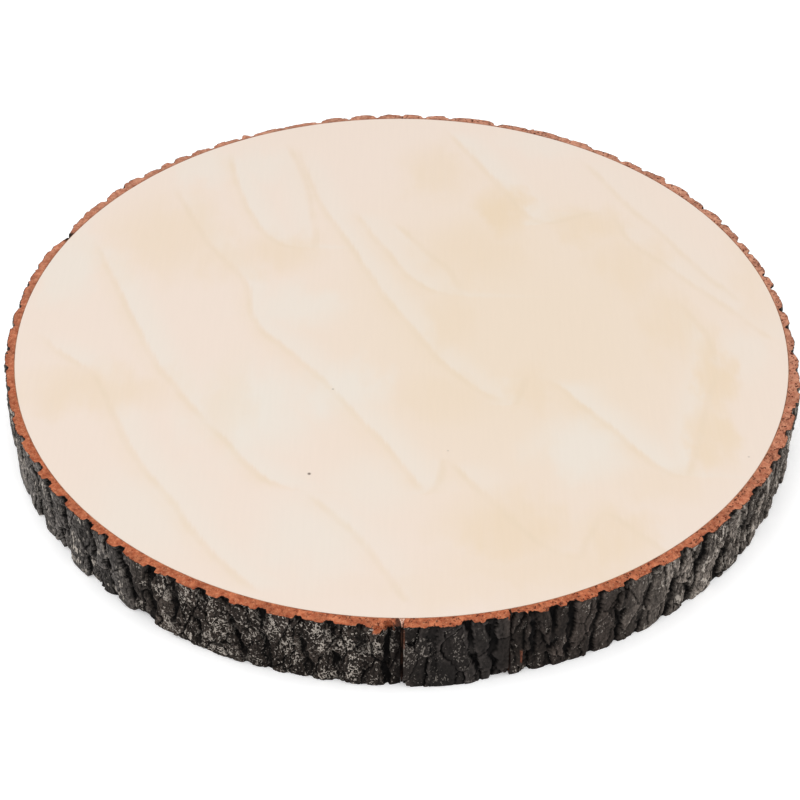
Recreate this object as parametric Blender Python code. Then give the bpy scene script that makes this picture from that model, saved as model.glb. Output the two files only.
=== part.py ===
"""Wood slice: a pale round wooden disc edged with three glued strips of real furrowed bark.

Metres, Z up. The origin is the centre of the underside. Angles are in degrees round the disc,
counter-clockwise from +X as seen from above.
"""

import math

import bmesh
import bpy
from mathutils import Vector, noise

MM = 0.001

# The slab: one flat round disc.
DISC_RADIUS = 146.5 * MM
THICKNESS = 29.5 * MM
DISC_SIDES = 180

# The bark: strips stand this far off the disc's edge, which is the glue line.
GLUE_LINE = 0.3 * MM
BARK_MEAN = 3.75 * MM
BARK_FRONT_EXTRA = 0.55 * MM
BARK_LEAST = 0.6 * MM
COLUMN_DEGREES = 0.85
BARK_LEVELS = 6

# Each furrow of the bark: degrees round at the top edge, degrees round at the bottom edge, depth in mm.
FILLER_FURROWS = (
    (274.2, 274.0, 0.6), (278.4, 280.2, 1.9), (281.6, 282.1, 1.5),
)
LEFT_FURROWS = (
    (160.6, 161.0, 0.6), (165.2, 165.6, 1.2), (169.6, 169.0, 1.1), (174.8, 174.5, 1.3), (179.2, 179.9, 1.1),
    (184.6, 185.1, 1.3), (188.8, 188.3, 1.3), (193.4, 194.3, 1.1), (198.9, 198.3, 1.3), (204.4, 205.2, 1.6),
    (210.7, 209.9, 2.0), (214.2, 215.1, 1.8), (218.2, 217.8, 1.9), (224.2, 225.4, 1.9), (227.6, 228.6, 1.7),
    (230.8, 232.8, 2.0), (236.2, 234.9, 1.7), (239.6, 239.3, 1.4), (243.9, 243.0, 1.8), (247.4, 250.2, 2.0),
    (252.3, 252.9, 1.8), (257.2, 258.5, 2.0), (261.2, 262.1, 1.7), (265.1, 265.6, 1.0), (268.6, 268.2, 2.2),
)
RIGHT_FURROWS = (
    (286.9, 287.2, 1.4), (289.8, 289.6, 1.7), (292.2, 292.1, 1.8), (296.4, 295.5, 1.8), (300.4, 299.1, 2.0),
    (304.8, 302.6, 1.6), (310.0, 307.4, 1.9), (314.1, 311.6, 1.8), (320.0, 317.6, 2.0), (325.4, 323.0, 1.5),
    (331.2, 329.2, 1.9), (334.2, 333.4, 1.7), (338.2, 336.8, 1.9), (343.0, 341.4, 1.6), (347.6, 347.0, 1.3),
    (352.0, 351.2, 1.6), (356.0, 356.3, 1.6), (361.7, 361.2, 2.0), (365.8, 366.4, 2.2), (371.1, 370.6, 1.8),
    (374.3, 375.2, 2.4), (380.1, 379.6, 1.8), (383.3, 383.9, 1.9), (388.4, 388.0, 1.9), (393.2, 394.1, 1.9),
    (396.7, 397.2, 1.3), (401.8, 401.2, 1.8), (406.7, 407.4, 1.7), (411.0, 410.3, 1.8), (416.5, 417.2, 1.2),
    (421.0, 420.4, 0.9), (428.4, 429.0, 0.8), (434.0, 433.4, 2.2), (442.0, 442.8, 1.7), (446.4, 445.8, 2.2),
    (450.2, 451.0, 1.1), (454.4, 453.9, 2.1), (459.2, 459.6, 2.2), (464.4, 464.0, 2.4), (470.6, 471.4, 0.9),
    (476.3, 476.0, 2.6), (478.4, 478.9, 2.2), (483.7, 483.2, 2.2), (487.8, 488.5, 1.6), (491.2, 491.0, 1.5),
    (493.8, 494.6, 1.5), (497.4, 497.1, 1.9), (501.4, 502.3, 2.0), (505.8, 505.4, 1.6), (511.2, 511.8, 0.8),
)

# Each strip of bark: its two ends, how thin it is left at each end, and over how many degrees it gets so thin.
FILLER_STRIP = {"name": "filler_strip", "ends": (270.45, 284.05), "thin_by": (0.0, 0.3), "over": (1.0, 2.0)}
LEFT_STRIP = {"name": "left_strip", "ends": (156.75, 270.1), "thin_by": (2.7, 1.0), "over": (3.2, 1.6)}
RIGHT_STRIP = {"name": "right_strip", "ends": (284.25, 516.45), "thin_by": (1.3, 2.7), "over": (2.6, 2.6)}


def paint(obj, name, colour, roughness):
    """Gives the object one plain material. The colour is linear."""
    material = bpy.data.materials.new(name)
    material.use_nodes = True
    shader = material.node_tree.nodes["Principled BSDF"]
    shader.inputs["Base Color"].default_value = (*colour, 1.0)
    shader.inputs["Roughness"].default_value = roughness
    shader.inputs["Metallic"].default_value = 0.0
    material.diffuse_color = (*colour, 1.0)
    obj.data.materials.append(material)


def link(name, bm, collection):
    """Makes a named object of the finished mesh and puts it in the slice's collection."""
    bmesh.ops.recalc_face_normals(bm, faces=bm.faces)
    mesh = bpy.data.meshes.new(name)
    bm.to_mesh(mesh)
    bm.free()
    obj = bpy.data.objects.new(name, mesh)
    collection.objects.link(obj)
    return obj


def furrow_cut(degrees, up, furrows):
    """How deep, in metres, the furrows cut at this place. A furrow wanders as it runs down the bark."""
    share = 1.0 - up / THICKNESS
    cut = 0.0
    for top, bottom, depth in furrows:
        wander = 0.25 * noise.noise(Vector((top, up / (9 * MM), 0.0)))
        centre = top + share * (bottom - top) + wander
        away = abs(math.radians(degrees - centre)) * DISC_RADIUS
        sharp = math.exp(-((away / (1.35 * MM)) ** 2))
        wide = math.exp(-away / (2.6 * MM))
        cut = max(cut, depth * MM * (0.72 * sharp + 0.28 * wide))
    return cut


def bark_thickness(degrees, up, strip, furrows):
    """The bark's thickness here: the strip's own, less its furrows, thinned where it nears an end."""
    turn = math.radians(degrees)
    around = turn * DISC_RADIUS
    swell = noise.noise(Vector((around / (34 * MM), up / (50 * MM), 1.3)))
    lump = noise.noise(Vector((around / (7 * MM), up / (11 * MM), 4.6)))
    thick = BARK_MEAN - BARK_FRONT_EXTRA * math.sin(turn)
    thick += 0.55 * MM * swell + 0.5 * MM * lump
    thick -= furrow_cut(degrees, up, furrows)
    from_ends = (degrees - strip["ends"][0], strip["ends"][1] - degrees)
    for away, thin_by, over in zip(from_ends, strip["thin_by"], strip["over"]):
        share = max(0.0, 1.0 - away / over)
        thick -= thin_by * MM * share
    return max(thick, BARK_LEAST)


def bark_profile(bm, degrees):
    """The strip's upright cross-section as one face, standing at this angle."""
    turn = math.radians(degrees)
    direction = Vector((math.cos(turn), math.sin(turn), 0.0))
    inner = DISC_RADIUS + GLUE_LINE
    outer = inner + BARK_MEAN
    places = [(inner, 0.0), (inner, THICKNESS)]
    places += [(outer, THICKNESS * (1.0 - i / BARK_LEVELS)) for i in range(BARK_LEVELS + 1)]
    corners = [bm.verts.new(direction * radius + Vector((0.0, 0.0, up))) for radius, up in places]
    return bm.faces.new(corners)


def make_strip(strip, furrows, collection):
    """Sweeps the cross-section round the disc, then gives its outer side the bark's relief."""
    start, end = strip["ends"]
    bm = bmesh.new()
    profile = bark_profile(bm, start)
    bmesh.ops.spin(
        bm,
        geom=[profile],
        cent=(0.0, 0.0, 0.0),
        axis=(0.0, 0.0, 1.0),
        angle=math.radians(end - start),
        steps=round((end - start) / COLUMN_DEGREES),
        use_duplicate=False,
    )
    inner = DISC_RADIUS + GLUE_LINE
    for vert in bm.verts:
        flat = Vector((vert.co.x, vert.co.y, 0.0))
        if flat.length < inner + 0.5 * BARK_MEAN:
            continue
        degrees = math.degrees(math.atan2(flat.y, flat.x))
        while degrees < start - 1.0:
            degrees += 360.0
        radius = inner + bark_thickness(degrees, vert.co.z, strip, furrows)
        out = flat.normalized() * radius
        vert.co = (out.x, out.y, vert.co.z)
    obj = link(strip["name"], bm, collection)
    paint(obj, strip["name"] + "_bark", (0.042, 0.037, 0.033), 0.9)
    return obj


def make_disc(collection):
    """The pale disc, standing on its underside."""
    bpy.ops.mesh.primitive_cylinder_add(
        vertices=DISC_SIDES, radius=DISC_RADIUS, depth=THICKNESS, location=(0.0, 0.0, 0.5 * THICKNESS)
    )
    obj = bpy.context.active_object
    obj.name = "wood_disc"
    obj.data.name = "wood_disc"
    for other in list(obj.users_collection):
        other.objects.unlink(obj)
    collection.objects.link(obj)
    bpy.ops.object.transform_apply(location=True, rotation=True, scale=True)
    bpy.ops.object.shade_smooth()
    obj.data.set_sharp_from_angle(angle=math.radians(30.0))
    paint(obj, "wood_disc_pale_wood", (0.871, 0.753, 0.631), 0.55)
    return obj


def build():
    """Clears the scene and makes the slice."""
    for old in list(bpy.data.objects):
        bpy.data.objects.remove(old, do_unlink=True)
    collection = bpy.data.collections.new("wood_slice")
    bpy.context.scene.collection.children.link(collection)
    make_disc(collection)
    make_strip(LEFT_STRIP, LEFT_FURROWS, collection)
    make_strip(FILLER_STRIP, FILLER_FURROWS, collection)
    make_strip(RIGHT_STRIP, RIGHT_FURROWS, collection)


build()
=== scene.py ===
import math

import bmesh
import bpy
import numpy as np
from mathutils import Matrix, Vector, noise


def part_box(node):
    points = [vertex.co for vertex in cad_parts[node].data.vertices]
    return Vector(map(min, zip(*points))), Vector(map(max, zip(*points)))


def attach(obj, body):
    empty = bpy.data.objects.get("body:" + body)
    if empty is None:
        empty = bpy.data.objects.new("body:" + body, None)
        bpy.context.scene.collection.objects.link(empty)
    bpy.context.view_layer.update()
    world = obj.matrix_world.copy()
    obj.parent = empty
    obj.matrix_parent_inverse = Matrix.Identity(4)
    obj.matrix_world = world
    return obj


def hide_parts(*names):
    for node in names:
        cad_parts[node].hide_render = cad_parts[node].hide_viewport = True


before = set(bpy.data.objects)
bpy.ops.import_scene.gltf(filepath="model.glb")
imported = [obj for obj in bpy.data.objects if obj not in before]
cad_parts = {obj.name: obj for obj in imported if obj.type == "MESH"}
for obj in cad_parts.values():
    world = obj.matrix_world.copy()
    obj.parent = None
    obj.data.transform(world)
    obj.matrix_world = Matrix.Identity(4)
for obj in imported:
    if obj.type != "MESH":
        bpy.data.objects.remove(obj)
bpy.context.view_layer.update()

MM = 0.001


# ---------------------------------------------------------------------------------------------
# The disc: one round slab of pale plywood, sawn and sanded. Its face is a sheet of knife-cut
# veneer, whose year rings show as long nested tongues. The bark is glued to its edge.
# ---------------------------------------------------------------------------------------------

disc_low, disc_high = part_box("wood_disc")
DISC_RADIUS = disc_high.x
DISC_TOP = disc_high.z
DISC_BOTTOM = disc_low.z
DISC_SIDES = 720
SANDED_ARRIS = 0.12 * MM

VENEER_EDGE = (0.698, 0.591, 0.510)
VENEER_MIDDLE = (0.683, 0.572, 0.458)
VENEER_WHITE = (0.674, 0.614, 0.543)
VENEER_TAN = (0.672, 0.540, 0.392)
RING_TAN = (0.640, 0.528, 0.398)
KNOT_BROWN = (0.05, 0.03, 0.02)

# The wood is yellower in one broad patch: its place, half widths and strength, as for the stains below.
YELLOWER_MIDDLE = (45, -5, 85, 100, 1.0)

# Each year ring: the places it passes through, as mm towards the back and mm to the right of the
# disc's middle, from its front end to its back end, and the paler wood beside it: how strong it is,
# with a plus where it lies on the ring's right and a minus on its left.
YEAR_RINGS = (
    ((
        (-136, -47), (-117, -64), (-94, -79), (-72, -94), (-45, -106), (-30, -113), (-15, -128), (2, -143),
    ), 0.8),
    (((-140, 2), (-121, -8), (-102, -21), (-87, -34)), 0.5),
    ((
        (-88, -31), (-86, -42), (-75, -54), (-57, -67), (-39, -80),
        (-18, -93), (5, -103), (36, -116), (62, -128),
    ), 1.0),
    (((51, -37), (52, -42), (58, -53), (75, -62), (98, -70), (121, -74)), 0.9),
    (((51, -37), (56, -35), (68, -36), (98, -41), (128, -51)), -0.6),
    ((
        (-89, 9), (-81, 4), (-57, -11), (-34, -26), (-15, -41), (8, -57), (28, -62), (60, -81), (102, -98),
    ), 0.9),
    (((-89, 9), (-83, 13), (-70, 15)), -0.6),
    (((-120, 60), (-109, 45), (-90, 30), (-70, 15)), 0.5),
    (((-120, 60), (-96, 70)), -0.5),
    (((-119, 90), (-109, 83), (-96, 70)), 0.3),
    ((
        (-42, 42), (-40, 37), (-23, 19), (-4, 7), (19, -6), (49, -19), (72, -30), (94, -38), (128, -47),
    ), 0.7),
    (((-42, 42), (-25, 47)), -0.6),
    (((-80, 101), (-77, 94), (-64, 83), (-45, 68), (-28, 55), (-25, 47)), 1.0),
    (((-80, 101), (-64, 106), (-38, 113), (-15, 118), (8, 113), (26, 102)), -0.9),
    (((21, 23), (28, 8), (53, -8), (79, -21)), 0.6),
    (((21, 23), (34, 21), (49, 11), (72, -4)), -0.5),
    (((69, 59), (75, 52), (87, 45), (109, 34), (140, 17)), 0.9),
    (((69, 59), (75, 72), (79, 81)), -0.8),
    (((-4, 141), (23, 121), (41, 106), (60, 91), (75, 87), (79, 81)), 0.4),
    (((19, 132), (49, 113), (75, 98), (102, 83), (119, 75)), 0.3),
)

# Each stain: mm to the right and mm to the back of the middle, its two half widths in mm, and how
# strong it is. The first list is tan, the second is whiter wood.
TAN_STAINS = (
    (-94, 60, 26, 30, 0.55), (-72, 45, 20, 14, 0.45), (-50, 49, 18, 15, 0.6), (15, 106, 18, 22, 0.5),
    (41, 78, 12, 20, 0.95), (30, 52, 24, 22, 0.5), (75, 68, 20, 14, 0.65), (90, 42, 15, 26, 0.5),
    (104, 8, 12, 26, 0.5), (117, -24, 8, 26, 0.8), (113, -58, 9, 20, 0.75), (-113, -34, 32, 14, 0.6),
    (38, -106, 26, 18, 0.75), (72, -110, 15, 16, 0.65), (53, -124, 46, 13, 0.5), (15, -38, 20, 15, 0.35),
    (30, -134, 50, 11, 0.3), (94, -83, 18, 11, 0.3), (19, 8, 10, 20, 0.35), (140, 40, 12, 40, 0.3),
    (-64, -40, 9, 24, 0.3), (48, -34, 8, 16, 0.45),
)
WHITE_STAINS = (
    (-55, -45, 25, 28, 1.0), (-23, -34, 19, 17, 0.9), (-41, 15, 20, 14, 0.75), (66, -64, 19, 19, 0.85),
    (-132, 38, 12, 26, 0.75), (-60, 109, 13, 17, 0.6), (-83, 109, 12, 17, 0.6), (-87, -98, 26, 26, 0.55),
    (-30, -109, 24, 24, 0.65), (60, 128, 20, 12, 0.45), (128, -11, 12, 18, 0.4), (-10, -85, 16, 16, 0.5),
)

# Each pin knot: mm to the right and to the back of the middle, its radius in mm, and how strong it is.
PIN_KNOTS = (
    (-32.3, -78.9, 0.65, 0.9), (-25.3, -33.6, 0.45, 0.45), (16.8, -66.5, 0.4, 0.3), (124, -68.6, 0.45, 0.3),
)


def finish_mesh(name, bm, materials, body="root"):
    """Makes the bmesh a named piece at the origin, with its finishes, riding on the slice."""
    mesh = bpy.data.meshes.new(name)
    bm.to_mesh(mesh)
    bm.free()
    piece = bpy.data.objects.new(name, mesh)
    bpy.context.scene.collection.objects.link(piece)
    for material in materials:
        mesh.materials.append(material)
    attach(piece, body)
    return piece


def new_finish(name, roughness, specular=0.5):
    """An empty material with its shader, ready for a pattern."""
    material = bpy.data.materials.new(name)
    material.use_nodes = True
    shader = material.node_tree.nodes["Principled BSDF"]
    shader.inputs["Roughness"].default_value = roughness
    shader.inputs["Specular IOR Level"].default_value = specular
    return material, material.node_tree, shader


def add_node(tree, kind, **settings):
    """Adds one node and sets it up. A socket is named in settings by its number, as i0, i1."""
    node = tree.nodes.new(kind)
    for key, value in settings.items():
        if key[0] == "i" and key[1:].isdigit():
            socket = node.inputs[int(key[1:])]
            if isinstance(value, bpy.types.NodeSocket):
                tree.links.new(value, socket)
            else:
                socket.default_value = value
        else:
            setattr(node, key, value)
    return node


def calc(tree, operation, first, second=0.0, third=0.0, clamp=False):
    """One step of arithmetic in a material."""
    node = add_node(tree, "ShaderNodeMath", operation=operation, i0=first, i1=second, i2=third)
    node.use_clamp = clamp
    return node.outputs[0]


def blend_colour(tree, share, under, over, kind="MIX"):
    """Lays one colour over another by a share from 0 to 1."""
    node = add_node(tree, "ShaderNodeMix", data_type="RGBA", blend_type=kind)
    for place, value in ((0, share), (6, under), (7, over)):
        if isinstance(value, bpy.types.NodeSocket):
            tree.links.new(value, node.inputs[place])
        elif place == 0:
            node.inputs[place].default_value = value
        else:
            node.inputs[place].default_value = (*value, 1.0)
    return node.outputs[2]


def shade(tree, colour, amount):
    """The colour made lighter or darker by an amount, 1 leaving it as it is."""
    grey = add_node(tree, "ShaderNodeCombineColor", i0=amount, i1=amount, i2=amount).outputs[0]
    return blend_colour(tree, 1.0, colour, grey, "MULTIPLY")


def rising(tree, value, low, high):
    """0 below low, 1 above high, and smooth between. It falls instead where low is above high."""
    node = add_node(tree, "ShaderNodeMapRange", interpolation_type="SMOOTHSTEP", i0=value)
    if low < high:
        node.inputs[1].default_value, node.inputs[2].default_value = low, high
    else:
        node.inputs[1].default_value, node.inputs[2].default_value = high, low
        node.inputs[3].default_value, node.inputs[4].default_value = 1.0, 0.0
    return node.outputs[0]


def mottle(tree, place, scale, detail=3.0, roughness=0.55, stretch=(1.0, 1.0, 1.0)):
    """A cloudy pattern from 0 to 1. scale is in patches to the metre."""
    scaled = add_node(tree, "ShaderNodeVectorMath", operation="MULTIPLY", i0=place, i1=stretch)
    node = add_node(tree, "ShaderNodeTexNoise", i0=scaled.outputs[0])
    node.inputs["Scale"].default_value = scale
    node.inputs["Detail"].default_value = detail
    node.inputs["Roughness"].default_value = roughness
    return node.outputs[0]


def add_bump(tree, shader, height, distance, strength=1.0):
    """Puts a fine height on the surface. distance is in metres."""
    bump = add_node(tree, "ShaderNodeBump")
    bump.inputs["Strength"].default_value = strength
    bump.inputs["Distance"].default_value = distance
    tree.links.new(height, bump.inputs["Height"])
    tree.links.new(bump.outputs[0], shader.inputs["Normal"])


def draw_ring(tree, share, places):
    """Where the ring lies, in mm to the right, at this share of its way from front to back."""
    front, back = places[0][0], places[-1][0]
    left = min(place[1] for place in places)
    right = max(place[1] for place in places)
    curve = add_node(tree, "ShaderNodeFloatCurve", i1=share)
    points = curve.mapping.curves[0].points
    while len(points) < len(places):
        points.new(0.5, 0.5)
    for point, (along, across) in zip(points, places):
        point.location = ((along - front) / (back - front), (across - left) / (right - left))
    curve.mapping.update()
    return calc(tree, "MULTIPLY_ADD", curve.outputs[0], right - left, left)


# How far on along a ring its slope is measured, in mm, and how far its line, its paler wood and its
# darker wood reach beside it.
LOOK_AHEAD = 1.5
RING_LINE = 2.3
PALER_WOOD = 16.0
DARKER_WOOD = 9.0


def year_ring(tree, across, along, places, paler_side):
    """(the ring's soft line, the paler wood beside it, the darker wood beside it), each from 0 to 1."""
    front, back = places[0][0], places[-1][0]
    length = back - front
    share = calc(tree, "MULTIPLY_ADD", along, 1.0 / length, -front / length)
    here = draw_ring(tree, share, places)
    ahead = draw_ring(tree, calc(tree, "ADD", share, LOOK_AHEAD / length), places)
    slope = calc(tree, "MULTIPLY", calc(tree, "SUBTRACT", ahead, here), 1.0 / LOOK_AHEAD)
    steep = calc(tree, "SQRT", calc(tree, "MULTIPLY_ADD", slope, slope, 1.0))
    away = calc(tree, "DIVIDE", calc(tree, "SUBTRACT", across, here), steep)
    ends = calc(tree, "MULTIPLY", rising(tree, share, -0.01, 0.04), rising(tree, share, 1.0, 0.85))
    line = calc(tree, "MULTIPLY", rising(tree, calc(tree, "ABSOLUTE", away), RING_LINE, 0.1), ends)
    inside = calc(tree, "MULTIPLY", away, math.copysign(1.0, paler_side))
    share_beside = calc(tree, "MULTIPLY", ends, abs(paler_side))
    paler = calc(tree, "MULTIPLY", rising(tree, inside, 0.0, 2.5), rising(tree, inside, PALER_WOOD, 2.0))
    darker = rising(tree, inside, -DARKER_WOOD, 1.0)
    darker = calc(tree, "MULTIPLY", darker, rising(tree, inside, 2.0, 0.0))
    return line, calc(tree, "MULTIPLY", paler, share_beside), calc(tree, "MULTIPLY", darker, share_beside)


def stain(tree, across, along, spot):
    """One soft-edged stain, from 0 to its strength."""
    right, back, half_wide, half_long, strength = spot
    one = calc(tree, "MULTIPLY_ADD", across, 1.0 / half_wide, -right / half_wide)
    other = calc(tree, "MULTIPLY_ADD", along, 1.0 / half_long, -back / half_long)
    away = calc(tree, "SQRT", calc(tree, "MULTIPLY_ADD", one, one, calc(tree, "MULTIPLY", other, other)))
    return calc(tree, "MULTIPLY", rising(tree, away, 1.4, 0.2), strength)


def veneer_finish():
    """Pale sanded veneer with its year rings, tan stains, whiter wood, fine fibres and pin knots."""
    material, tree, shader = new_finish("pale_veneer", 0.55, 0.3)
    place = add_node(tree, "ShaderNodeTexCoord").outputs["Object"]
    parts = add_node(tree, "ShaderNodeSeparateXYZ", i0=place)
    fibre = mottle(tree, place, 900.0, detail=2.0, stretch=(1.0, 0.06, 0.0))
    drift = mottle(tree, place, 45.0, detail=2.0, stretch=(1.0, 0.5, 0.0))
    wobble = calc(tree, "MULTIPLY_ADD", fibre, 1.6, -0.8)
    wobble = calc(tree, "ADD", wobble, calc(tree, "MULTIPLY_ADD", drift, 3.0, -1.5))
    plain_across = calc(tree, "MULTIPLY", parts.outputs[0], 1000.0)
    plain_along = calc(tree, "MULTIPLY", parts.outputs[1], 1000.0)
    across = calc(tree, "ADD", plain_across, wobble)
    along = calc(tree, "ADD", plain_along, wobble)
    rings, white, stains = 0.0, 0.0, 0.0
    for places, paler_side in YEAR_RINGS:
        line, paler, darker = year_ring(tree, across, along, places, paler_side)
        rings = calc(tree, "MAXIMUM", line, rings)
        white = calc(tree, "MAXIMUM", paler, white)
        stains = calc(tree, "MAXIMUM", darker, stains)
    faint = calc(tree, "MULTIPLY_ADD", mottle(tree, place, 70.0), 1.6, -0.25, clamp=True)
    rings = calc(tree, "MULTIPLY", calc(tree, "MULTIPLY", rings, faint), 0.52)
    stains = calc(tree, "MULTIPLY", calc(tree, "MULTIPLY", stains, faint), 0.5)
    white = calc(tree, "MULTIPLY", white, 0.7)
    ragged = mottle(tree, place, 90.0, detail=3.0, stretch=(1.0, 0.6, 0.0))
    ragged = calc(tree, "MULTIPLY_ADD", ragged, 26.0, -13.0)
    stain_across = calc(tree, "ADD", across, ragged)
    stain_along = calc(tree, "ADD", along, ragged)
    for spot in TAN_STAINS:
        stains = calc(tree, "MAXIMUM", stain(tree, stain_across, stain_along, spot), stains)
    for spot in WHITE_STAINS:
        white = calc(tree, "MAXIMUM", stain(tree, stain_across, stain_along, spot), white)
    streaks = mottle(tree, place, 260.0, detail=4.0, stretch=(1.0, 0.06, 0.0))
    streaks = calc(tree, "MULTIPLY_ADD", streaks, 0.6, 0.7)
    stains = calc(tree, "MULTIPLY", stains, streaks, clamp=True)
    stains = calc(tree, "MULTIPLY", stains, 0.9)
    white = calc(tree, "SUBTRACT", white, calc(tree, "MULTIPLY", stains, 0.8), clamp=True)
    colour = blend_colour(tree, stain(tree, across, along, YELLOWER_MIDDLE), VENEER_EDGE, VENEER_MIDDLE)
    colour = blend_colour(tree, white, colour, VENEER_WHITE)
    colour = blend_colour(tree, stains, colour, VENEER_TAN)
    colour = blend_colour(tree, rings, colour, RING_TAN)
    colour = shade(tree, colour, calc(tree, "MULTIPLY_ADD", fibre, 0.03, 0.985))
    for right, back, radius, strength in PIN_KNOTS:
        knot = stain(tree, plain_across, plain_along, (right, back, radius, radius, strength))
        colour = blend_colour(tree, knot, colour, KNOT_BROWN)
    tree.links.new(colour, shader.inputs["Base Color"])
    add_bump(tree, shader, fibre, 0.02 * MM)
    return material


BACK_DARK = (0.60, 0.49, 0.37)
BACK_LIGHT = (0.66, 0.56, 0.44)
BACK_GRAIN = (0.50, 0.37, 0.25)


def plywood_finish():
    """The plainer back veneer and sawn edge: straight brown grain."""
    material, tree, shader = new_finish("plywood_back", 0.65, 0.3)
    place = add_node(tree, "ShaderNodeTexCoord").outputs["Object"]
    grain = mottle(tree, place, 420.0, detail=5.0, stretch=(1.0, 0.04, 1.0))
    cloud = mottle(tree, place, 20.0, detail=2.0)
    colour = blend_colour(tree, cloud, BACK_DARK, BACK_LIGHT)
    colour = blend_colour(tree, rising(tree, grain, 0.5, 0.75), colour, BACK_GRAIN)
    tree.links.new(colour, shader.inputs["Base Color"])
    add_bump(tree, shader, grain, 0.06 * MM)
    return material


def make_disc():
    """A capped circle drawn up to the disc's thickness, with its arrises eased by sanding."""
    bm = bmesh.new()
    bmesh.ops.create_circle(bm, cap_ends=True, segments=DISC_SIDES, radius=DISC_RADIUS)
    bmesh.ops.translate(bm, verts=bm.verts, vec=(0.0, 0.0, DISC_BOTTOM))
    drawn = bmesh.ops.extrude_face_region(bm, geom=bm.faces[:], use_keep_orig=True)
    top = [item for item in drawn["geom"] if isinstance(item, bmesh.types.BMVert)]
    bmesh.ops.translate(bm, verts=top, vec=(0.0, 0.0, DISC_TOP - DISC_BOTTOM))
    bmesh.ops.recalc_face_normals(bm, faces=bm.faces)
    rims = [edge for edge in bm.edges if abs(edge.verts[0].co.z - edge.verts[1].co.z) < 0.1 * MM]
    bmesh.ops.bevel(
        bm, geom=rims, offset=SANDED_ARRIS, offset_type="OFFSET", affect="EDGES",
        segments=2, profile=0.5, material=-1, clamp_overlap=True,
    )
    for face in bm.faces:
        face.smooth = len(face.verts) < 5
        face.material_index = 0 if face.calc_center_median().z > DISC_TOP - 1.5 * SANDED_ARRIS else 1
    return finish_mesh("disc", bm, [veneer_finish(), plywood_finish()])


disc = make_disc()
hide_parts("wood_disc")


# ---------------------------------------------------------------------------------------------
# The bark: three strips of real bark, sawn to the disc's height, bent round it and glued.
# Their outer side is deeply furrowed charcoal crust; the sawn edges show orange inner bark.
# ---------------------------------------------------------------------------------------------

BARK_INSIDE = DISC_RADIUS + 0.3 * MM
BARK_MEAN = 3.9 * MM
BARK_FRONT_EXTRA = 0.55 * MM
BARK_LEAST = 0.6 * MM
OUTER_SIDE = BARK_INSIDE + 0.3 * BARK_MEAN

CRUST_DARK = (0.0100, 0.0090, 0.0085)
CRUST_LIGHT = (0.034, 0.0285, 0.026)
WEATHERED_DARK = (0.032, 0.0290, 0.0272)
WEATHERED_LIGHT = (0.118, 0.108, 0.100)
BROWN_TINT = (1.03, 0.94, 0.86)
LICHEN_GREY = (0.46, 0.41, 0.36)
# Near black painted into the furrows and cracks as shade.
FURROW_SHADE_BLACK = (0.0030, 0.0026, 0.0026)
JOINT_BLACK = (0.006, 0.004, 0.0035)
INNER_DARK = (0.26, 0.058, 0.024)
INNER_LIGHT = (0.46, 0.150, 0.070)
INNER_PALE_DARK = (0.34, 0.130, 0.078)
INNER_PALE_LIGHT = (0.50, 0.255, 0.170)
PORE_RED = (0.070, 0.016, 0.009)
FIBRE_PALE = (0.66, 0.32, 0.18)
RIND_BLACK = (0.020, 0.012, 0.009)

# Each furrow: degrees round at the top edge, degrees round at the bottom edge, depth in mm.
FILLER_FURROWS = (
    (274.2, 274.0, 0.6), (278.4, 280.2, 1.9), (281.6, 282.1, 1.5),
)
LEFT_FURROWS = (
    (160.6, 161.0, 0.6), (165.2, 165.6, 1.2), (169.6, 169.0, 1.1), (174.8, 174.5, 1.3), (179.2, 179.9, 1.1),
    (184.6, 185.1, 1.3), (188.8, 188.3, 1.3), (193.4, 194.3, 1.1), (198.9, 198.3, 1.3), (204.4, 205.2, 1.6),
    (210.7, 209.9, 2.4), (214.2, 215.1, 1.9), (218.2, 217.8, 2.3), (224.2, 225.4, 2.3), (227.6, 228.6, 2.1),
    (230.8, 232.8, 2.4), (236.2, 234.9, 1.9), (239.6, 239.3, 1.4), (243.9, 243.0, 1.8), (247.4, 250.2, 2.0),
    (252.3, 252.9, 1.8), (257.2, 258.5, 2.0), (261.2, 262.1, 1.7), (265.1, 265.6, 1.0), (268.6, 268.2, 2.2),
)
RIGHT_FURROWS = (
    (286.9, 287.2, 1.4), (289.8, 289.6, 1.7), (292.2, 292.1, 1.8), (296.4, 295.5, 1.8), (300.4, 299.1, 2.0),
    (304.8, 302.6, 1.6), (310.0, 307.4, 1.9), (314.1, 311.6, 1.8), (320.0, 317.6, 2.0), (325.4, 323.0, 1.5),
    (331.2, 329.2, 1.9), (334.2, 333.4, 1.7), (338.2, 336.8, 1.9), (343.0, 341.4, 1.6), (347.6, 347.0, 1.3),
    (352.0, 351.2, 1.6), (356.0, 356.3, 1.6), (361.7, 361.2, 2.0), (365.8, 366.4, 2.2), (371.1, 370.6, 1.8),
    (374.3, 375.2, 2.4), (380.1, 379.6, 1.8), (383.3, 383.9, 1.9), (388.4, 388.0, 1.9), (393.2, 394.1, 1.9),
    (396.7, 397.2, 1.3), (401.8, 401.2, 1.8), (406.7, 407.4, 1.7), (411.0, 410.3, 1.8), (416.5, 417.2, 1.2),
    (421.0, 420.4, 0.9), (428.4, 429.0, 0.8), (434.0, 433.4, 2.2), (442.0, 442.8, 1.7), (446.4, 445.8, 2.2),
    (450.2, 451.0, 1.1), (454.4, 453.9, 2.1), (459.2, 459.6, 2.2), (464.4, 464.0, 2.4), (470.6, 471.4, 0.9),
    (476.3, 476.0, 2.6), (478.4, 478.9, 2.2), (483.7, 483.2, 2.2), (487.8, 488.5, 1.6), (491.2, 491.0, 1.5),
    (493.8, 494.6, 1.5), (497.4, 497.1, 1.9), (501.4, 502.3, 2.0), (505.8, 505.4, 1.6), (511.2, 511.8, 0.8),
)

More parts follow.
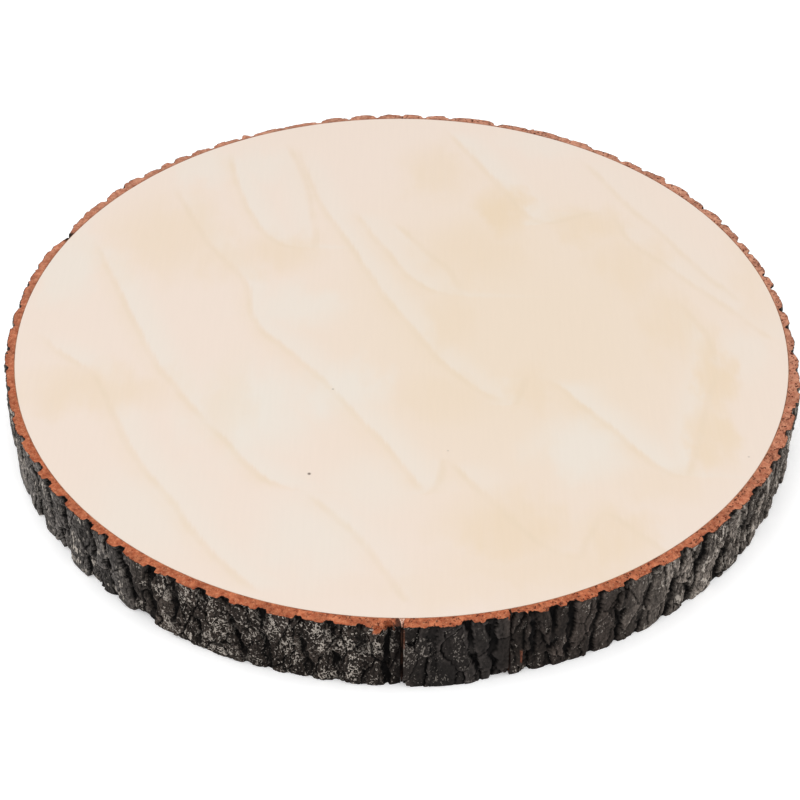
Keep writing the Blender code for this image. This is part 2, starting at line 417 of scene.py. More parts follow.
# Where the bark is broken away: from and to degrees, from and to mm below the top edge, mm lost, and
# how far the orange inner bark shows there, from 0 to 1.
LEFT_CHIPS = (
    (266.75, 269.2, -1.0, 2.7, 0.9, 1.0), (161.0, 196.0, -1.0, 0.6, 0.4, 0.0),
    (208.4, 209.6, 20.0, 31.0, 1.5, 0.0), (216.0, 217.8, 19.0, 31.0, 1.9, 0.0),
    (222.7, 225.0, 19.0, 31.0, 2.1, 0.0), (233.1, 234.3, 22.0, 31.0, 1.5, 0.0),
)
FILLER_CHIPS = (
    (270.3, 270.52, 1.5, 9.5, 0.4, 0.3), (270.3, 270.85, 26.0, 31.0, 1.3, 0.0),
    (283.85, 284.2, -1.0, 2.2, 0.6, 0.9), (280.3, 284.2, 25.2, 31.0, 0.6, 0.0),
    (281.8, 284.2, 25.5, 31.0, 1.2, 0.0),
)
RIGHT_CHIPS = (
    (284.0, 286.1, -1.0, 17.0, 1.5, 0.0), (286.0, 286.9, 18.0, 31.0, 1.2, 0.0),
    (285.6, 285.8, 18.5, 23.5, 0.2, 0.35),
)

# Where the bark is fuller or thinner than elsewhere: from and to degrees, over how many degrees it
# changes, and the difference in mm.
FULLNESS = (
    (164.5, 167.5, 1.0, 0.5), (172.3, 175.7, 1.0, -0.7), (194.0, 222.0, 8.0, -0.45),
    (322.0, 345.0, 10.0, 0.6), (357.0, 370.0, 4.0, -0.75), (388.0, 391.0, 1.5, 0.8),
    (397.0, 403.0, 1.5, 1.0), (412.0, 415.0, 2.0, -0.6), (424.5, 427.5, 1.0, 0.5),
    (429.0, 434.0, 2.0, -0.6), (444.5, 451.0, 1.5, -0.4), (465.0, 475.0, 2.0, -1.1),
    (479.5, 484.5, 2.0, -0.7), (487.0, 495.0, 2.0, -0.4), (497.5, 503.0, 1.5, 0.6),
    (512.5, 515.0, 1.0, -0.4),
)

# The same where it is so only near the bottom edge, with how many mm up it fades before the difference.
FOOT_FULLNESS = ((270.4, 281.5, 0.5, 9.0, 0.5), (228.5, 234.0, 3.0, 7.0, -0.9))

# Each strip: its two ends in degrees, how thin it is left at each end in mm, over how many degrees,
# its furrows and chips, and how fine its mesh is: turns, cuts in each turn, and levels.
FILLER_STRIP = {
    "ends": (270.45, 284.05), "thin_by": (0.0, 0.3), "over": (1.0, 2.0),
    "furrows": FILLER_FURROWS, "chips": FILLER_CHIPS, "turns": 4, "cuts": 44, "levels": 136,
}
LEFT_STRIP = {
    "ends": (156.75, 270.1), "thin_by": (2.7, 1.0), "over": (3.2, 1.6),
    "furrows": LEFT_FURROWS, "chips": LEFT_CHIPS, "turns": 20, "cuts": 49, "levels": 94,
}
RIGHT_STRIP = {
    "ends": (284.25, 516.45), "thin_by": (0.3, 2.7), "over": (2.6, 2.6),
    "furrows": RIGHT_FURROWS, "chips": RIGHT_CHIPS, "turns": 30, "cuts": 43, "levels": 72,
}


def ripples(across, along, seed):
    """Smooth noise from about -1 to 1 at each place."""
    return np.array([noise.noise((x, y, seed)) for x, y in zip(across, along)])


def crumble(across, along, seed, octaves):
    """Rough noise, each octave half the size of the last, from about -1 to 1."""
    return np.array([noise.fractal((x, y, seed), 0.75, 2.0, octaves) for x, y in zip(across, along)])


def cell_noise(points, seed):
    """One number from 0 to 1 for each plate, from the plate's own middle."""
    return np.array([noise.cell((x * 17.3, y * 17.3, seed)) for x, y, z in points])


def hill(values, low, high, fade):
    """1 between low and high, falling to 0 over fade outside them."""
    outside = np.maximum(np.maximum(low - values, values - high), 0.0)
    return np.maximum(0.0, 1.0 - outside / fade)


def furrows_at(degrees, up, furrows):
    """(how deep the furrows cut in mm, how near the floor of one, 0 to 1) at each place on the bark."""
    share = 1.0 - up / DISC_TOP
    below, above = (DISC_TOP - up) / MM, (up - DISC_BOTTOM) / MM
    ragged = ripples(degrees * 2.1, up / (1.1 * MM), 4.4)
    swing = ripples(degrees * 0.35, up / (6.0 * MM), 8.2) * np.clip(below / 3.0, 0.0, 1.0)
    # Round the back, from 352 degrees through 360 to 192, the ridges between the furrows are round lobes.
    lobed = hill(np.mod(degrees, 360.0), 100.0, 192.0, 10.0)
    lobed += hill(np.mod(degrees - 200.0, 360.0), 152.0, 260.0, 10.0)
    lobed = np.clip(lobed, 0.0, 1.0)
    deepest, floor = np.zeros(len(up)), np.zeros(len(up))
    for number, (top, bottom, depth) in enumerate(furrows):
        centre = top + share * (bottom - top) + 0.6 * swing
        away = np.abs(np.radians(degrees - centre)) * DISC_RADIUS / MM
        near = np.flatnonzero(away < 12.0)
        down = up[near] / MM
        column = np.full(len(near), number * 3.7)
        # At the left of the front the crust is flat, and its furrows close up on their way down.
        flat = 1.0 if 238.0 < top < 268.0 else 0.0
        open_share = 0.9 - 0.22 * flat + 1.1 * ripples(column, down / 8.0, 6.1)
        open_share = np.clip(open_share, 0.35 - 0.2 * flat, 1.0)
        open_share = 1.0 - (1.0 - open_share) * np.clip(below[near] / 3.0, 0.0, 1.0)
        half = 0.95 + 0.9 * ripples(column, down / 5.0, 2.0) + 0.6 * np.exp(-below[near] / 1.5)
        here = np.full(len(near), top)
        half += 0.35 * hill(here, 206.0, 236.0, 2.0) + 0.3 * hill(here, 308.0, 345.0, 3.0)
        reach = away[near] + 0.75 * ragged[near] * (1.0 - 0.7 * lobed[near])
        reach -= half * (1.0 - 0.5 * lobed[near])
        wall = open_share / (1.0 + np.exp((reach - 0.2) / 0.14))
        bowl = open_share * np.exp(-((np.maximum(reach, 0.0) / 1.6) ** 1.3))
        calm = 1.0 - 0.4 * np.exp(-above[near] / 3.0)
        sharp = 0.9 * wall + 0.36 * bowl * (below[near] > 0.4)
        rounded = 0.45 * wall + 0.75 * np.exp(-away[near] / 2.4)
        sharp += lobed[near] * (rounded - sharp)
        deepest[near] = np.maximum(deepest[near], depth * calm * sharp)
        floor[near] = np.maximum(floor[near], np.maximum(wall, 0.6 * bowl) * min(depth / 1.3, 1.0))
    return deepest, floor


# The bark's plates: how wide and high they are in mm, how wide a crack is, and which slice of the
# cells they are cut from.
PLATE_WIDE = 7.5
PLATE_HIGH = 16.0
CRACK_WIDE = 0.34
PLATE_SLICE = 0.35


def plates_at(around, up):
    """(height in mm, crack, tone): the crust is broken into plates, each tilted and toned its own way."""
    wander = 1.3 * ripples(around / 7.0, up / 9.0, 3.7) + 0.8 * ripples(around / 1.9, up / 2.2, 9.1)
    across, along = (around + wander) / PLATE_WIDE, (up + wander) / PLATE_HIGH
    nearby = [noise.voronoi((x, y, PLATE_SLICE))[1] for x, y in zip(across, along)]
    cells = np.array([[point[:] for point in points] for points in nearby])
    place = np.column_stack([across, along, np.full(len(up), PLATE_SLICE)])
    nearest = cells[:, 0]
    edge = np.full(len(up), 99.0)
    for other in (cells[:, 1], cells[:, 2], cells[:, 3]):
        gap = other - nearest
        middle = ((place - other) ** 2).sum(1) - ((place - nearest) ** 2).sum(1)
        slope = np.hypot(gap[:, 0] / PLATE_WIDE, gap[:, 1] / PLATE_HIGH)
        edge = np.minimum(edge, 0.5 * middle / np.maximum(slope, 1e-6))
    crack = np.exp(-((edge / CRACK_WIDE) ** 2))
    level = cell_noise(nearest, 1.0) - 0.5
    lean = (cell_noise(nearest, 2.0) - 0.5) * (place[:, 0] - nearest[:, 0])
    pitch = (cell_noise(nearest, 3.0) - 0.5) * (place[:, 1] - nearest[:, 1])
    return 0.9 * level + 1.4 * lean + 1.2 * pitch - 0.7 * crack, crack, cell_noise(nearest, 4.0)


def flakes_at(around, up):
    """Height in mm: thin layers that have scaled off in steps, with sharp edges."""
    layers = 2.8 * crumble(around / 5.0, up / 11.0, 6.6, 4)
    step = layers - np.floor(layers)
    edge = np.clip((step - 0.42) / 0.12, 0.0, 1.0)
    return 0.34 * (np.floor(layers) + edge * edge * (3.0 - 2.0 * edge))


def chips_at(degrees, up, chips):
    """(mm lost, how far the inner bark is bared) where the bark has broken away."""
    lost, bared = np.zeros(len(up)), np.zeros(len(up))
    ragged = ripples(degrees * 3.0, up / (0.9 * MM), 5.5)
    for low, high, top, bottom, deep, orange in chips:
        below = (DISC_TOP - up) / MM + 0.7 * ragged
        turned = degrees + min(0.22, 0.25 * (high - low)) * ragged
        here = hill(turned, low, high, 0.12) * hill(below, top, bottom, 0.35 if deep < 1.5 else 3.0)
        lost = np.maximum(lost, deep * here)
        bared = np.maximum(bared, orange * here)
    return lost, bared


def spread_out(heights, columns, rows):
    """The heights evened out over this many columns and rows each way."""
    for axis, reach in ((0, columns), (1, rows)):
        total = np.zeros_like(heights)
        padded = np.pad(heights, [(reach, reach) if axis == at else (0, 0) for at in (0, 1)], mode="edge")
        for shift in range(2 * reach + 1):
            total += np.take(padded, range(shift, shift + heights.shape[axis]), axis=axis)
        heights = total / (2 * reach + 1)
    return heights


def bark_relief(strip):
    """The strip's outer side, worked out on a net of columns and levels: thickness in metres, and the
    furrow share (painted shade in furrows and cracks), crest_shade (painted highlight and shade), bared and
    tone shares that its finish goes by."""
    start, end = strip["ends"]
    columns = np.linspace(start, end, strip["turns"] * (strip["cuts"] + 1) + 1)
    levels = np.linspace(DISC_BOTTOM, DISC_TOP, strip["levels"] + 1)
    net = (len(columns), len(levels))
    degrees, up = (grid.ravel() for grid in np.meshgrid(columns, levels, indexing="ij"))
    around, upward = np.radians(degrees) * DISC_RADIUS / MM, up / MM
    full = (BARK_MEAN - BARK_FRONT_EXTRA * np.sin(np.radians(degrees))) / MM
    for low, high, fade, extra in FULLNESS:
        full += extra * hill(degrees, low, high, fade)
    for low, high, fade, height, extra in FOOT_FULLNESS:
        full += extra * hill(degrees, low, high, fade) * np.exp(-(up - DISC_BOTTOM) / (height * MM))
    below, above = (DISC_TOP - up) / MM, (up - DISC_BOTTOM) / MM
    swell = 0.4 * ripples(around / 34.0, upward / 50.0, 1.3)
    swell += 0.35 * ripples(around / 7.0, upward / 11.0, 4.6)
    cut, floor = furrows_at(degrees, up, strip["furrows"])
    plates, crack, tone = plates_at(around, upward)
    plain = hill(degrees, 270.4, 284.1, 0.5) + 0.7 * hill(degrees, 284.2, 304.0, 8.0) * (degrees > 284.15)
    plates += 0.45 * plain * crack
    crack *= 1.0 - 0.75 * plain
    fine = crumble(around / 1.5, upward / 2.3, 4.0, 4)
    smoother = 1.0 - 0.6 * hill(degrees, 270.5, 304.0, 6.0) - 0.35 * hill(degrees, 208.0, 232.0, 6.0)
    relief = plates + (flakes_at(around, upward) + 0.34 * fine) * smoother
    relief *= (1.0 - 0.5 * floor) * (1.0 - 0.65 * np.exp(-below / 0.9)) * (1.0 - 0.6 * np.exp(-above / 1.8))
    lost, bared = chips_at(degrees, up, strip["chips"])
    thick = full + swell + relief - cut - lost
    thick = np.where(thick > full + 0.1, full + 0.1 + 0.25 * (thick - full - 0.1), thick)
    for away, thin_by, over in zip((degrees - start, end - degrees), strip["thin_by"], strip["over"]):
        thick -= thin_by * np.clip(1.0 - away / over, 0.0, 1.0)
    front = np.maximum(-np.sin(np.radians(degrees)), 0.0)
    thick -= 0.3 * np.exp(-above / 0.7) + 0.5 * np.exp(-above / 9.0) * front
    thick = np.maximum(thick, BARK_LEAST / MM).reshape(net)
    wide = math.radians(end - start) * DISC_RADIUS / MM / len(columns)
    high = (DISC_TOP - DISC_BOTTOM) / MM / len(levels)
    # crest_shade: height above the mean of the next mm or so, which the finish paints as highlight on crests
    # and shade in hollows.
    crest_shade = thick - spread_out(thick, round(1.0 / wide), round(1.0 / high))
    # The furrow share also sets the painted shade that darkens the furrow floors and cracks in the finish.
    return {
        "thick": thick * MM,
        "furrow": np.maximum(floor, 0.8 * crack).reshape(net),
        "crest_shade": np.clip(0.5 + 1.3 * crest_shade, 0.0, 1.0),
        "bared": bared.reshape(net),
        "tone": tone.reshape(net),
    }


def attribute(tree, name):
    """A value that the piece's mesh carries."""
    return add_node(tree, "ShaderNodeAttribute", attribute_name=name).outputs["Fac"]


def inner_bark_colour(tree, place):
    """Orange-brown inner bark: patches of lighter and darker fibre with dark red pores and short cracks.
    It's paler towards the back and the right."""
    parts = add_node(tree, "ShaderNodeSeparateXYZ", i0=place)
    to_back = calc(tree, "MULTIPLY_ADD", parts.outputs[0], 0.4, parts.outputs[1])
    patch = rising(tree, mottle(tree, place, 170.0, detail=2.0), 0.35, 0.65)
    cloud = rising(tree, mottle(tree, place, 480.0, detail=5.0, roughness=0.65), 0.30, 0.70)
    colour = blend_colour(tree, cloud, INNER_DARK, INNER_LIGHT)
    pale = blend_colour(tree, cloud, INNER_PALE_DARK, INNER_PALE_LIGHT)
    colour = blend_colour(tree, rising(tree, to_back, -0.13, 0.12), colour, pale)
    colour = shade(tree, colour, calc(tree, "MULTIPLY_ADD", patch, 0.3, 0.87))
    pores = rising(tree, mottle(tree, place, 900.0, detail=3.0, roughness=0.7), 0.545, 0.61)
    coarse = calc(tree, "MULTIPLY_ADD", rising(tree, parts.outputs[0], -0.06, 0.02), 0.6, 0.4)
    colour = blend_colour(tree, calc(tree, "MULTIPLY", pores, coarse), colour, PORE_RED)
    fibre = rising(tree, mottle(tree, place, 1500.0, detail=2.0), 0.56, 0.68)
    return blend_colour(tree, calc(tree, "MULTIPLY", fibre, 0.35), colour, FIBRE_PALE)


def outer_bark_finish():
    """Charcoal crust with lichen, painted near black as shade in the furrows, cracks and hollows, and painted
    lighter as a highlight on its crests.
    """
    material, tree, shader = new_finish("furrowed_bark", 0.95, 0.08)
    place = add_node(tree, "ShaderNodeTexCoord").outputs["Object"]
    crest_shade = attribute(tree, "crest_shade")
    furrow = attribute(tree, "furrow")
    weathered = attribute(tree, "weathered")
    plain = attribute(tree, "plain")
    rough = calc(tree, "MULTIPLY_ADD", plain, -0.6, 1.0)
    cloud = mottle(tree, place, 130.0, detail=4.0)
    colour = blend_colour(tree, cloud, CRUST_DARK, CRUST_LIGHT)
    grey = blend_colour(tree, cloud, WEATHERED_DARK, WEATHERED_LIGHT)
    colour = blend_colour(tree, weathered, colour, grey)
    grain = mottle(tree, place, 1250.0, detail=4.0, roughness=0.8, stretch=(1.0, 1.0, 0.45))
    grain = rising(tree, grain, 0.36, 0.66)
    grain = calc(tree, "MULTIPLY", calc(tree, "SUBTRACT", grain, 0.5), rough)
    grain = calc(tree, "MULTIPLY", grain, calc(tree, "MULTIPLY_ADD", weathered, 0.35, 1.25))
    colour = shade(tree, colour, calc(tree, "ADD", grain, 1.0))
    colour = shade(tree, colour, calc(tree, "MULTIPLY_ADD", attribute(tree, "tone"), 0.7, 0.65))
    # Painted highlight and shade: crests are lightened up to 2.2 times and hollows darkened down to 0.08 of
    # their colour.
    colour = shade(tree, colour, calc(tree, "MAXIMUM", calc(tree, "MULTIPLY_ADD", crest_shade, 2.4, -0.2), 0.08))
    colour = shade(tree, colour, calc(tree, "ADD", attribute(tree, "lighter"), 1.0))
    brown = blend_colour(tree, attribute(tree, "browned"), (1.0, 1.0, 1.0), BROWN_TINT)
    colour = blend_colour(tree, 1.0, colour, brown, "MULTIPLY")
    clump = rising(tree, mottle(tree, place, 150.0, detail=2.0), 0.4, 0.62)
    clump = calc(tree, "MULTIPLY_ADD", clump, 0.17, -0.09)
    worm = calc(tree, "ABSOLUTE", calc(tree, "SUBTRACT", mottle(tree, place, 700.0, detail=1.5), 0.5))
    worm = rising(tree, worm, 0.07, 0.02)
    broken = calc(tree, "ADD", mottle(tree, place, 950.0, detail=2.0, stretch=(1.3, 1.3, 1.0)), clump)
    broken = calc(tree, "MULTIPLY_ADD", attribute(tree, "lichen"), 0.16, broken)
    lichen = calc(tree, "MULTIPLY", worm, rising(tree, broken, 0.655, 0.70))
    streak = calc(tree, "ADD", mottle(tree, place, 1100.0, detail=2.0, stretch=(1.0, 1.0, 0.3)), clump)
    streak = calc(tree, "MULTIPLY_ADD", attribute(tree, "streaked"), 0.13, streak)
    pale = calc(tree, "MAXIMUM", lichen, rising(tree, streak, 0.69, 0.77))
    pale = calc(tree, "MULTIPLY", pale, calc(tree, "MULTIPLY_ADD", furrow, -1.0, 1.0, clamp=True))
    pale = calc(tree, "MULTIPLY", pale, rough)
    colour = blend_colour(tree, pale, colour, LICHEN_GREY)
    # Painted shade: the furrows and cracks are darkened towards near black.
    colour = blend_colour(tree, calc(tree, "MULTIPLY", furrow, 0.95), colour, FURROW_SHADE_BLACK)
    colour = blend_colour(tree, attribute(tree, "bared"), colour, inner_bark_colour(tree, place))
    colour = blend_colour(tree, attribute(tree, "blackened"), colour, JOINT_BLACK)
    tree.links.new(colour, shader.inputs["Base Color"])
    height = calc(tree, "MULTIPLY", mottle(tree, place, 1300.0, detail=4.0, roughness=0.7), rough)
    add_bump(tree, shader, height, 0.35 * MM)
    return material


def sawn_bark_finish():
    """Orange-brown inner bark, sawn across, with a dark rind at the outside."""
    material, tree, shader = new_finish("sawn_bark", 0.85, 0.12)
    place = add_node(tree, "ShaderNodeTexCoord").outputs["Object"]
    colour = inner_bark_colour(tree, place)
    ragged = calc(tree, "MULTIPLY_ADD", mottle(tree, place, 1300.0), 1.3, -0.65)
    rind = rising(tree, calc(tree, "ADD", attribute(tree, "inward"), ragged), 0.3, 0.0)
    rind = calc(tree, "MAXIMUM", rind, attribute(tree, "blackened"))
    colour = blend_colour(tree, rind, colour, RIND_BLACK)
    tree.links.new(colour, shader.inputs["Base Color"])
    add_bump(tree, shader, mottle(tree, place, 1800.0, detail=4.0), 0.2 * MM)
    return material


outer_bark = outer_bark_finish()
sawn_bark = sawn_bark_finish()


def sweep_section(strip):
    """The strip before it is worked: its upright section swept round, finely meshed on the outer side."""
    start, end = strip["ends"]
    turn = math.radians(start)
    direction = Vector((math.cos(turn), math.sin(turn), 0.0))
    outer = BARK_INSIDE + BARK_MEAN
    section = ((BARK_INSIDE, DISC_BOTTOM), (BARK_INSIDE, DISC_TOP), (outer, DISC_TOP), (outer, DISC_BOTTOM))
    bm = bmesh.new()
    corners = [bm.verts.new(direction * radius + Vector((0.0, 0.0, up))) for radius, up in section]
    profile = bm.faces.new(corners)
    bmesh.ops.spin(
        bm, geom=[profile], cent=(0.0, 0.0, 0.0), axis=(0.0, 0.0, 1.0),
        angle=math.radians(end - start), steps=strip["turns"], use_duplicate=False,
    )
    round_about = [
        edge for edge in bm.edges
        if abs(edge.verts[0].co.z - edge.verts[1].co.z) < 0.1 * MM
        and abs(edge.verts[0].co.xy.length - edge.verts[1].co.xy.length) < 0.1 * MM
    ]
    bmesh.ops.subdivide_edges(bm, edges=round_about, cuts=strip["cuts"])
    uprights = [
        edge for edge in bm.edges
        if abs(edge.verts[0].co.z - edge.verts[1].co.z) > MM
        and edge.verts[0].co.xy.length > OUTER_SIDE
    ]
    bmesh.ops.subdivide_edges(bm, edges=uprights, cuts=strip["levels"] - 1)
    return bm


# Where round the rim the bark looks different, for each word that its finish knows: from and to
# degrees, over how many degrees it changes, and how strong it is.
STRETCHES = {
    "lichen": ((238.0, 267.0, 8.0, 1.0), (270.4, 306.0, 1.5, 0.15), (310.0, 345.0, 5.0, 0.4)),
    "streaked": (
        (185.0, 240.0, 10.0, 0.6), (308.0, 350.0, 10.0, 1.0), (0.0, 184.0, 10.0, 0.4),
        (241.0, 269.0, 5.0, 0.2),
    ),
    "plain": ((270.4, 284.1, 0.5, 1.0), (284.2, 304.0, 8.0, 0.7)),
    "weathered": ((150.0, 226.0, 14.0, 0.7), (308.0, 350.0, 10.0, 1.0), (0.0, 149.0, 20.0, 0.5)),
    "lighter": (
        (100.0, 219.0, 8.0, 1.1), (229.0, 267.0, 4.0, 0.38), (270.4, 284.1, 0.2, 0.25),
        (284.2, 308.0, 1.0, 0.55), (309.0, 360.0, 1.0, 0.45), (0.0, 90.0, 8.0, 0.4),
    ),
    "browned": ((236.0, 268.0, 6.0, 1.0), (285.0, 350.0, 3.0, 0.8)),
    "blackened": ((155.7, 157.3, 0.7, 1.0),),
}


def make_strip(name, strip):
    """Works the outer side of the swept strip into bark, and notes what its finish needs to know."""
    bm = sweep_section(strip)
    relief = bark_relief(strip)
    start, end = strip["ends"]
    places = np.array([vert.co for vert in bm.verts])
    degrees = start + np.mod(np.degrees(np.arctan2(places[:, 1], places[:, 0])) - start + 1.0, 360.0) - 1.0
    last_column, last_level = relief["thick"].shape[0] - 1, relief["thick"].shape[1] - 1
    column = np.clip(np.rint((degrees - start) / (end - start) * last_column), 0, last_column).astype(int)
    level = np.rint((places[:, 2] - DISC_BOTTOM) / (DISC_TOP - DISC_BOTTOM) * last_level).astype(int)
    outside = np.hypot(places[:, 0], places[:, 1]) > OUTER_SIDE
    thick = relief["thick"][column, level]
    grown = BARK_INSIDE + np.where(outside, thick, 0.0)
    places[:, 0] = grown * np.cos(np.radians(degrees))
    places[:, 1] = grown * np.sin(np.radians(degrees))
    for vert, place in zip(bm.verts, places):
        vert.co = place
    bm.verts.ensure_lookup_table()
    for face in bm.faces:
        face.smooth = all(outside[vert.index] for vert in face.verts) and len(face.verts) == 4
        face.material_index = 0 if face.smooth else 1
    for edge in bm.edges:
        edge.smooth = len({face.material_index for face in edge.link_faces}) == 1
    bmesh.ops.recalc_face_normals(bm, faces=bm.faces)
    piece = finish_mesh(name, bm, [outer_bark, sawn_bark])
    notes = {word: values[column, level] for word, values in relief.items() if word != "thick"}
    turned = np.mod(degrees, 360.0)
    for word, stretches in STRETCHES.items():
        notes[word] = np.zeros(len(turned))
        for low, high, fade, strength in stretches:
            notes[word] += strength * hill(turned, low, high, fade)
    cut_ends = 0.9 * (degrees < start + 0.03) + 0.9 * (degrees > end - 0.03)
    notes["blackened"] = notes["blackened"] + cut_ends + 0.85 * hill(degrees, 269.55, 270.1, 0.3)
    notes["inward"] = np.where(outside, 0.0, thick / MM)
    for word, values in notes.items():
        layer = piece.data.attributes.new(word, "FLOAT", "POINT")
        layer.data.foreach_set("value", np.clip(values, 0.0, 9.0).astype(np.float32))
    return piece


for name, strip in (("left", LEFT_STRIP), ("filler", FILLER_STRIP), ("right", RIGHT_STRIP)):
    piece = make_strip(name + "_bark", strip)
    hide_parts(name + "_strip")


# ---------------------------------------------------------------------------------------------
# The glue line: brown glue between the disc's edge and the bark, a little below the face. At the
# front joint a pale splinter of inner bark is caught in the gap and stands just proud of the face.
# ---------------------------------------------------------------------------------------------

GLUE_INSIDE = DISC_RADIUS + 0.02 * MM
GLUE_OUTSIDE = BARK_INSIDE - 0.02 * MM
GLUE_BELOW_FACE = 0.12 * MM
GLUE_ABOVE_TABLE = 0.15 * MM
# The glue lower in the gap: dark brown, painted darker still as shade.
GLUE_SHADED_DARK = (0.010, 0.006, 0.005)
GLUE_SHADED_BROWN = (0.050, 0.024, 0.016)
DUST_DARK = (0.20, 0.080, 0.042)
DUST_LIGHT = (0.42, 0.21, 0.12)

# Each bead: from and to degrees, how far out it comes, and how far below the face it ends.
GLUE_BEADS = (
    (270.12, 270.43, 2.0 * MM, 2.2 * MM), (284.07, 284.23, 1.4 * MM, 0.8 * MM),
    (156.47, 156.73, 0.5 * MM, 1.0 * MM),
)


def glue_finish():
    """Dried brown glue with sanding dust in it at the face, painted darker lower down as shade in the gap."""
    material, tree, shader = new_finish("dried_glue", 0.9, 0.06)
    place = add_node(tree, "ShaderNodeTexCoord").outputs["Object"]
    cloud = rising(tree, mottle(tree, place, 300.0, detail=3.0), 0.35, 0.65)
    up = add_node(tree, "ShaderNodeSeparateXYZ", i0=place).outputs[2]
    low = blend_colour(tree, cloud, GLUE_SHADED_DARK, GLUE_SHADED_BROWN)
    dusty = blend_colour(tree, cloud, DUST_DARK, DUST_LIGHT)
    # Painted shade: the glue darkens from the dusty colour at the face towards near black lower in the gap.
    colour = blend_colour(tree, rising(tree, up, DISC_TOP - 0.6 * MM, DISC_TOP - 0.3 * MM), low, dusty)
    tree.links.new(colour, shader.inputs["Base Color"])
    return material


def make_glue():
    """A thin upright ring, its section swept once round the disc, and a bead squeezed out in each joint."""
    bm = bmesh.new()
    low, high = DISC_BOTTOM + GLUE_ABOVE_TABLE, DISC_TOP - GLUE_BELOW_FACE
    section = ((GLUE_INSIDE, low), (GLUE_OUTSIDE, low), (GLUE_OUTSIDE, high), (GLUE_INSIDE, high))
    corners = [bm.verts.new((radius, 0.0, up)) for radius, up in section]
    edges = [bm.edges.new((corners[i], corners[(i + 1) % 4])) for i in range(4)]
    bmesh.ops.spin(
        bm, geom=corners + edges, cent=(0.0, 0.0, 0.0), axis=(0.0, 0.0, 1.0),
        angle=math.radians(360.0), steps=DISC_SIDES, use_merge=True, use_duplicate=False,
    )
    bmesh.ops.remove_doubles(bm, verts=bm.verts, dist=0.001 * MM)
    for start, end, reach, below in GLUE_BEADS:
        turn = Vector((math.cos(math.radians(start)), math.sin(math.radians(start)), 0.0))
        section = (
            (BARK_INSIDE + 0.02 * MM, low), (BARK_INSIDE + reach, low),
            (BARK_INSIDE + 0.8 * reach, DISC_TOP - below), (BARK_INSIDE + 0.02 * MM, DISC_TOP - below),
        )
        corners = [bm.verts.new(turn * radius + Vector((0.0, 0.0, up))) for radius, up in section]
        bead = bm.faces.new(corners)
        bmesh.ops.spin(
            bm, geom=[bead], cent=(0.0, 0.0, 0.0), axis=(0.0, 0.0, 1.0),
            angle=math.radians(end - start), steps=2, use_duplicate=False,
        )
    bmesh.ops.recalc_face_normals(bm, faces=bm.faces)
    for face in bm.faces:
        face.smooth = abs(face.normal.z) < 0.5
    return finish_mesh("glue_line", bm, [glue_finish()])


glue_line = make_glue()


SPLINTER_ANGLE = 270.27
SPLINTER_DARK = (0.30, 0.12, 0.075)
SPLINTER_LIGHT = (0.72, 0.48, 0.37)


def splinter_finish():
    """Pale pinkish torn fibre."""
    material, tree, shader = new_finish("torn_fibre", 0.8, 0.2)
    place = add_node(tree, "ShaderNodeTexCoord").outputs["Object"]
    cloud = rising(tree, mottle(tree, place, 1500.0, detail=3.0), 0.35, 0.65)
    colour = blend_colour(tree, cloud, SPLINTER_DARK, SPLINTER_LIGHT)
    tree.links.new(colour, shader.inputs["Base Color"])
    return material


def make_splinter():
    """A sliver wedged in the front joint: a small block drawn to a ragged point, its torn top spread wide."""
    turn = math.radians(SPLINTER_ANGLE)
    outward = Vector((math.cos(turn), math.sin(turn), 0.0))
    sideways = Vector((-math.sin(turn), math.cos(turn), 0.0))
    bm = bmesh.new()
    bmesh.ops.create_cube(bm, size=1.0)
    bmesh.ops.subdivide_edges(bm, edges=bm.edges[:], cuts=5, use_grid_fill=True)
    for vert in bm.verts:
        along, across, up = vert.co.x + 0.5, vert.co.y, vert.co.z
        rough = 0.25 * noise.noise(Vector((along * 5.0, across * 4.0, up * 4.0)))
        flare = 1.0 + 2.4 * max(up + 0.1, 0.0) * max(1.0 - 1.3 * along, 0.0)
        width = (0.84 - 0.25 * along) * flare * across + 0.2 * rough
        rise = (1.7 - 1.0 * along) * (up - 0.5) - 0.5 * along * along + 0.5 * rough + 0.08
        reach = 0.35 + 2.7 * along + rough
        place = outward * (DISC_RADIUS + reach * MM) + sideways * (width * MM)
        vert.co = (place.x, place.y, DISC_TOP + rise * MM)
    bmesh.ops.recalc_face_normals(bm, faces=bm.faces)
    return finish_mesh("joint_splinter", bm, [splinter_finish()])


splinter = make_splinter()


# ---------------------------------------------------------------------------------------------
# The table, the light and the view: a plain pale sheet, soft light from all round, and a camera
# that looks down on the slice from the front.
# ---------------------------------------------------------------------------------------------

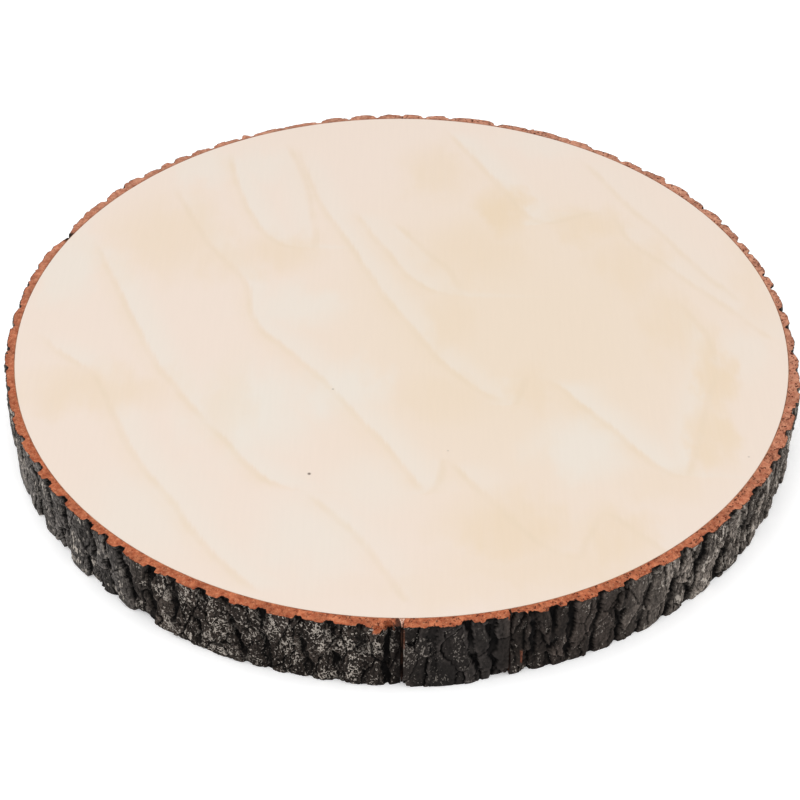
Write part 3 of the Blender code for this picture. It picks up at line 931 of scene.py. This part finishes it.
def make_floor():
    """A plain pale sheet under the slice."""
    bm = bmesh.new()
    bmesh.ops.create_grid(bm, x_segments=1, y_segments=1, size=4.0)
    bmesh.ops.translate(bm, verts=bm.verts, vec=(0.0, 0.0, DISC_BOTTOM - 0.05 * MM))
    mesh = bpy.data.meshes.new("floor")
    bm.to_mesh(mesh)
    bm.free()
    floor = bpy.data.objects.new("floor", mesh)
    bpy.context.scene.collection.objects.link(floor)
    material, tree, shader = new_finish("pale_floor", 0.9)
    shader.inputs["Base Color"].default_value = (0.95, 0.95, 0.95, 1.0)
    shader.inputs["Emission Color"].default_value = (1.0, 1.0, 1.0, 1.0)
    shader.inputs["Emission Strength"].default_value = 0.2
    mesh.materials.append(material)


def add_panel(name, place, aim, size, power):
    """A soft square light panel."""
    light = bpy.data.lights.new(name, "AREA")
    light.shape = "SQUARE"
    light.size = size
    light.energy = power
    lamp = bpy.data.objects.new(name, light)
    bpy.context.scene.collection.objects.link(lamp)
    lamp.location = place
    lamp.rotation_euler = (Vector(aim) - Vector(place)).to_track_quat("-Z", "Y").to_euler()


make_floor()
world = bpy.data.worlds.new("studio")
bpy.context.scene.world = world
world.use_nodes = True
world.node_tree.nodes["Background"].inputs["Color"].default_value = (1.0, 1.0, 1.0, 1.0)
world.node_tree.nodes["Background"].inputs["Strength"].default_value = 0.72
add_panel("top_panel", (-0.2, -0.3, 1.6), (0.0, 0.0, 0.0), 1.4, 12.5)
add_panel("right_panel", (1.2, -0.3, 0.9), (0.0, 0.0, 0.0), 1.0, 4.0)
add_panel("left_panel", (-1.2, 0.2, 1.0), (0.0, 0.0, 0.0), 1.0, 3.0)

CAMERA_LENS = 87.8
CAMERA_PITCH = math.radians(41.61)
CAMERA_ROLL = math.radians(0.402)
CAMERA_DISTANCE = 4.896 * DISC_RADIUS
camera_data = bpy.data.cameras.new("camera")
camera_data.lens = CAMERA_LENS
camera_data.sensor_width = 36.0
camera_data.clip_start = 0.01
camera = bpy.data.objects.new("camera", camera_data)
bpy.context.scene.collection.objects.link(camera)
looked_at = Vector((-0.0032 * DISC_RADIUS, -0.2690 * DISC_RADIUS, DISC_TOP))
forward = Vector((0.0, math.cos(CAMERA_PITCH), -math.sin(CAMERA_PITCH)))
camera.location = looked_at - CAMERA_DISTANCE * forward
camera.rotation_euler = (math.radians(90.0) - CAMERA_PITCH, 0.0, 0.0)
camera.rotation_euler.rotate_axis("Z", CAMERA_ROLL)
bpy.context.scene.camera = camera
bpy.context.scene.view_settings.view_transform = "Standard"
